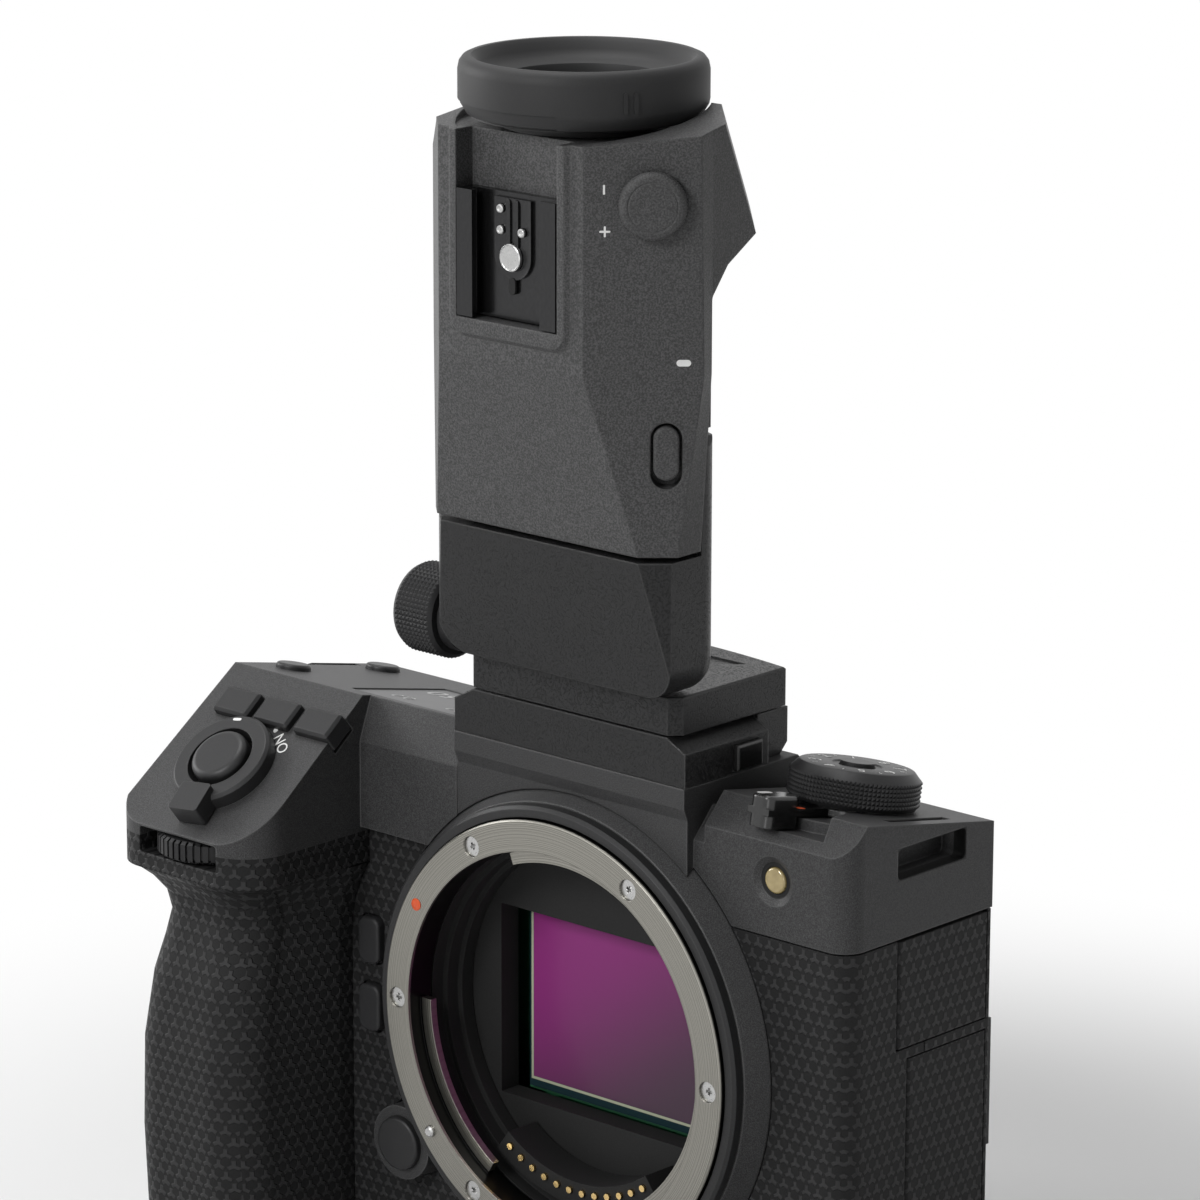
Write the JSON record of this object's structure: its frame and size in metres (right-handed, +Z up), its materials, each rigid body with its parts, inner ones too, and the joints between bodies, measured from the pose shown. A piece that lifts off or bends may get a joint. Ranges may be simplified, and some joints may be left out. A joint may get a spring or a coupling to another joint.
{
  "type": "medium format digital camera",
  "caption": "Medium format digital camera body with a large lens mount, side grip, mode dial and a tilting, swivelling viewfinder on an adapter.",
  "frame": {"origin": "mouth of the tripod thread, below the lens axis in the image plane", "axes": "X to the camera's own left, Y to its back, Z up"},
  "size_m": [0.1526, 0.0815, 0.2298],
  "materials": {
    "body_paint": "fine grained dark grey paint",
    "adapter_paint": "black crinkle paint",
    "leather": "embossed black covering",
    "black_plastic": "black plastic",
    "dark_metal": "black anodised metal",
    "mount_nickel": "brushed nickel",
    "steel": "steel",
    "gold": "gold plated",
    "soft_rubber": "soft black rubber",
    "dark_glass": "coated glass",
    "sensor": "iridescent sensor",
    "lamp": "amber lamp",
    "board": "circuit board"
  },
  "bodies": {
    "body": {"front_shell": "body_paint", "rear_shell": "body_paint", "top_plate": "body_paint", "base_plate": "body_paint", "tripod_socket": "steel", "grip_skin": "leather", "front_skin": "leather", "mount_ring": "mount_nickel", "mount_screws": "steel", "mount_trim_ring": "dark_metal", "light_baffle": "dark_metal", "contact_block": "black_plastic", "contact_pins": "gold", "shutter_frame": "dark_metal", "sensor_glass": "sensor", "sensor_board": "board", "main_board": "board", "battery": "black_plastic", "af_lamp": "lamp", "monitor_glass": "dark_glass", "adapter_base": "adapter_paint"},
    "shutter_button": {"shutter_button": "dark_metal"},
    "power_lever": {"power_lever": "dark_metal"},
    "panel_button_1": {"panel_button_1": "black_plastic"},
    "panel_button_2": {"panel_button_2": "black_plastic"},
    "panel_button_3": {"panel_button_3": "black_plastic"},
    "front_dial": {"front_dial": "dark_metal"},
    "rear_dial": {"rear_dial": "dark_metal"},
    "mode_dial": {"mode_dial": "dark_metal"},
    "dial_lock": {"dial_lock": "dark_metal"},
    "still_movie_lever": {"still_movie_lever": "dark_metal"},
    "lens_release": {"lens_release_button": "dark_metal"},
    "lens_lock_pin": {"lens_lock_pin": "steel"},
    "front_button_1": {"front_button_1": "black_plastic"},
    "front_button_2": {"front_button_2": "black_plastic"},
    "top_button_1": {"top_button_1": "black_plastic"},
    "top_button_2": {"top_button_2": "black_plastic"},
    "focus_stick": {"focus_stick": "soft_rubber"},
    "rear_button_1": {"rear_button_1": "black_plastic"},
    "rear_button_2": {"rear_button_2": "black_plastic"},
    "screen_arm": {"screen_arm": "black_plastic"},
    "screen": {"screen_frame": "black_plastic", "screen_glass": "dark_glass"},
    "terminal_door_upper": {"terminal_door_upper": "black_plastic"},
    "terminal_door_lower": {"terminal_door_lower": "black_plastic"},
    "card_door": {"card_door": "black_plastic"},
    "battery_door": {"battery_door": "black_plastic"},
    "adapter_release_left": {"adapter_release_left": "black_plastic"},
    "adapter_release_right": {"adapter_release_right": "black_plastic"},
    "swivel": {"swivel_plate": "adapter_paint"},
    "finder": {"tilt_arm": "adapter_paint", "tilt_axle": "steel", "evf_housing": "adapter_paint", "hot_shoe": "steel", "eyecup": "soft_rubber", "eyepiece_lens": "dark_glass"},
    "tilt_knob": {"tilt_knob": "dark_metal"},
    "dioptre_dial": {"dioptre_dial": "dark_metal"},
    "evf_release": {"evf_release": "black_plastic"}
  },
  "joints": [
    {"name": "shutter_button_slide", "type": "slide", "parent": "body", "child": "shutter_button", "axis": [0, 0.6196, -0.7849], "range_m": [0, 0.0012], "stiffness_N_per_m": 300},
    {"name": "power_lever_hinge", "type": "hinge", "parent": "body", "child": "power_lever", "pos_m": [-0.0708, -0.03757, 0.09203], "axis": [0, -0.6196, 0.7849], "range_deg": [0, 45]},
    {"name": "panel_button_1_slide", "type": "slide", "parent": "body", "child": "panel_button_1", "axis": [0, 0.6196, -0.7849], "range_m": [0, 0.0006], "stiffness_N_per_m": 300},
    {"name": "panel_button_2_slide", "type": "slide", "parent": "body", "child": "panel_button_2", "axis": [0, 0.6196, -0.7849], "range_m": [0, 0.0006], "stiffness_N_per_m": 300},
    {"name": "panel_button_3_slide", "type": "slide", "parent": "body", "child": "panel_button_3", "axis": [0, 0.6196, -0.7849], "range_m": [0, 0.0006], "stiffness_N_per_m": 300},
    {"name": "front_dial_hinge", "type": "hinge", "parent": "body", "child": "front_dial", "pos_m": [-0.0709, -0.0412, 0.079], "axis": [0, 0, 1], "continuous": true},
    {"name": "rear_dial_hinge", "type": "hinge", "parent": "body", "child": "rear_dial", "pos_m": [-0.06, 0.0134, 0.0875], "axis": [0, 0, 1], "continuous": true},
    {"name": "mode_dial_hinge", "type": "hinge", "parent": "body", "child": "mode_dial", "pos_m": [0.0453, 0.0029, 0.09975], "axis": [0, 0.1867, 0.9824], "continuous": true},
    {"name": "dial_lock_slide", "type": "slide", "parent": "mode_dial", "child": "dial_lock", "axis": [0, -0.1867, -0.9824], "range_m": [0, 0.0004], "stiffness_N_per_m": 300},
    {"name": "still_movie_lever_hinge", "type": "hinge", "parent": "body", "child": "still_movie_lever", "pos_m": [0.0453, 0.0029, 0.09975], "axis": [0, 0.1867, 0.9824], "range_deg": [0, 26]},
    {"name": "lens_release_slide", "type": "slide", "parent": "body", "child": "lens_release", "axis": [0, 1, 0], "range_m": [0, 0.0012], "stiffness_N_per_m": 500},
    {"name": "lens_lock_pin_slide", "type": "slide", "parent": "body", "child": "lens_lock_pin", "axis": [0, 1, 0], "range_m": [0, 0.0012], "stiffness_N_per_m": 500},
    {"name": "front_button_1_slide", "type": "slide", "parent": "body", "child": "front_button_1", "axis": [0, 1, 0], "range_m": [0, 0.0006], "stiffness_N_per_m": 300},
    {"name": "front_button_2_slide", "type": "slide", "parent": "body", "child": "front_button_2", "axis": [0, 1, 0], "range_m": [0, 0.0006], "stiffness_N_per_m": 300},
    {"name": "top_button_1_slide", "type": "slide", "parent": "body", "child": "top_button_1", "axis": [0, -0.2055, -0.9787], "range_m": [0, 0.0006], "stiffness_N_per_m": 300},
    {"name": "top_button_2_slide", "type": "slide", "parent": "body", "child": "top_button_2", "axis": [0, -0.2055, -0.9787], "range_m": [0, 0.0006], "stiffness_N_per_m": 300},
    {"name": "focus_stick_hinge", "type": "hinge", "parent": "body", "child": "focus_stick", "pos_m": [-0.036, 0.0194, 0.072], "axis": [1, 0, 0], "range_deg": [-6, 6], "stiffness_Nm_per_rad": 0.1},
    {"name": "rear_button_1_slide", "type": "slide", "parent": "body", "child": "rear_button_1", "axis": [0, -1, 0], "range_m": [0, 0.0006], "stiffness_N_per_m": 300},
    {"name": "rear_button_2_slide", "type": "slide", "parent": "body", "child": "rear_button_2", "axis": [0, -1, 0], "range_m": [0, 0.0006], "stiffness_N_per_m": 300},
    {"name": "screen_arm_hinge", "type": "hinge", "parent": "body", "child": "screen_arm", "pos_m": [0, 0.02205, 0.06475], "axis": [1, 0, 0], "range_deg": [0, 80]},
    {"name": "screen_hinge", "type": "hinge", "parent": "screen_arm", "child": "screen", "pos_m": [-0.0214, 0.0262, 0.04], "axis": [0, 0, 1], "range_deg": [0, 60]},
    {"name": "terminal_door_upper_hinge", "type": "hinge", "parent": "body", "child": "terminal_door_upper", "pos_m": [0.06215, -0.0044, 0.07], "axis": [0, 0, -1], "range_deg": [0, 95]},
    {"name": "terminal_door_lower_hinge", "type": "hinge", "parent": "body", "child": "terminal_door_lower", "pos_m": [0.06215, -0.0014, 0.035], "axis": [0, 0, -1], "range_deg": [0, 95]},
    {"name": "card_door_hinge", "type": "hinge", "parent": "body", "child": "card_door", "pos_m": [-0.0884, 0.0056, 0.047], "axis": [0, 0, 1], "range_deg": [0, 95]},
    {"name": "battery_door_hinge", "type": "hinge", "parent": "body", "child": "battery_door", "pos_m": [-0.076, -0.007, 0.001], "axis": [1, 0, 0], "range_deg": [0, 95]},
    {"name": "adapter_release_left_slide", "type": "slide", "parent": "body", "child": "adapter_release_left", "axis": [-1, 0, 0], "range_m": [0, 0.0008], "stiffness_N_per_m": 300},
    {"name": "adapter_release_right_slide", "type": "slide", "parent": "body", "child": "adapter_release_right", "axis": [1, 0, 0], "range_m": [0, 0.0008], "stiffness_N_per_m": 300},
    {"name": "swivel_hinge", "type": "hinge", "parent": "body", "child": "swivel", "pos_m": [0, -0.007, 0.1126], "axis": [0, 0, 1], "range_deg": [-45, 45]},
    {"name": "finder_hinge", "type": "hinge", "parent": "swivel", "child": "finder", "pos_m": [0, -0.0167, 0.1243], "axis": [1, 0, 0], "range_deg": [-90, 0]},
    {"name": "tilt_knob_hinge", "type": "hinge", "parent": "finder", "child": "tilt_knob", "pos_m": [-0.0282, -0.0167, 0.1243], "axis": [1, 0, 0], "range_deg": [0, 90]},
    {"name": "dioptre_dial_hinge", "type": "hinge", "parent": "finder", "child": "dioptre_dial", "pos_m": [0.02491, -0.0274, 0.20775], "axis": [0.681, -0.7323, 0], "range_deg": [-150, 150]},
    {"name": "evf_release_slide", "type": "slide", "parent": "finder", "child": "evf_release", "axis": [0, 0, -1], "range_m": [0, 0.0012], "stiffness_N_per_m": 300}
  ],
  "couplings": [
    {"joint": "lens_lock_pin_slide", "follows": "lens_release_slide", "ratio": 1}
  ]
}
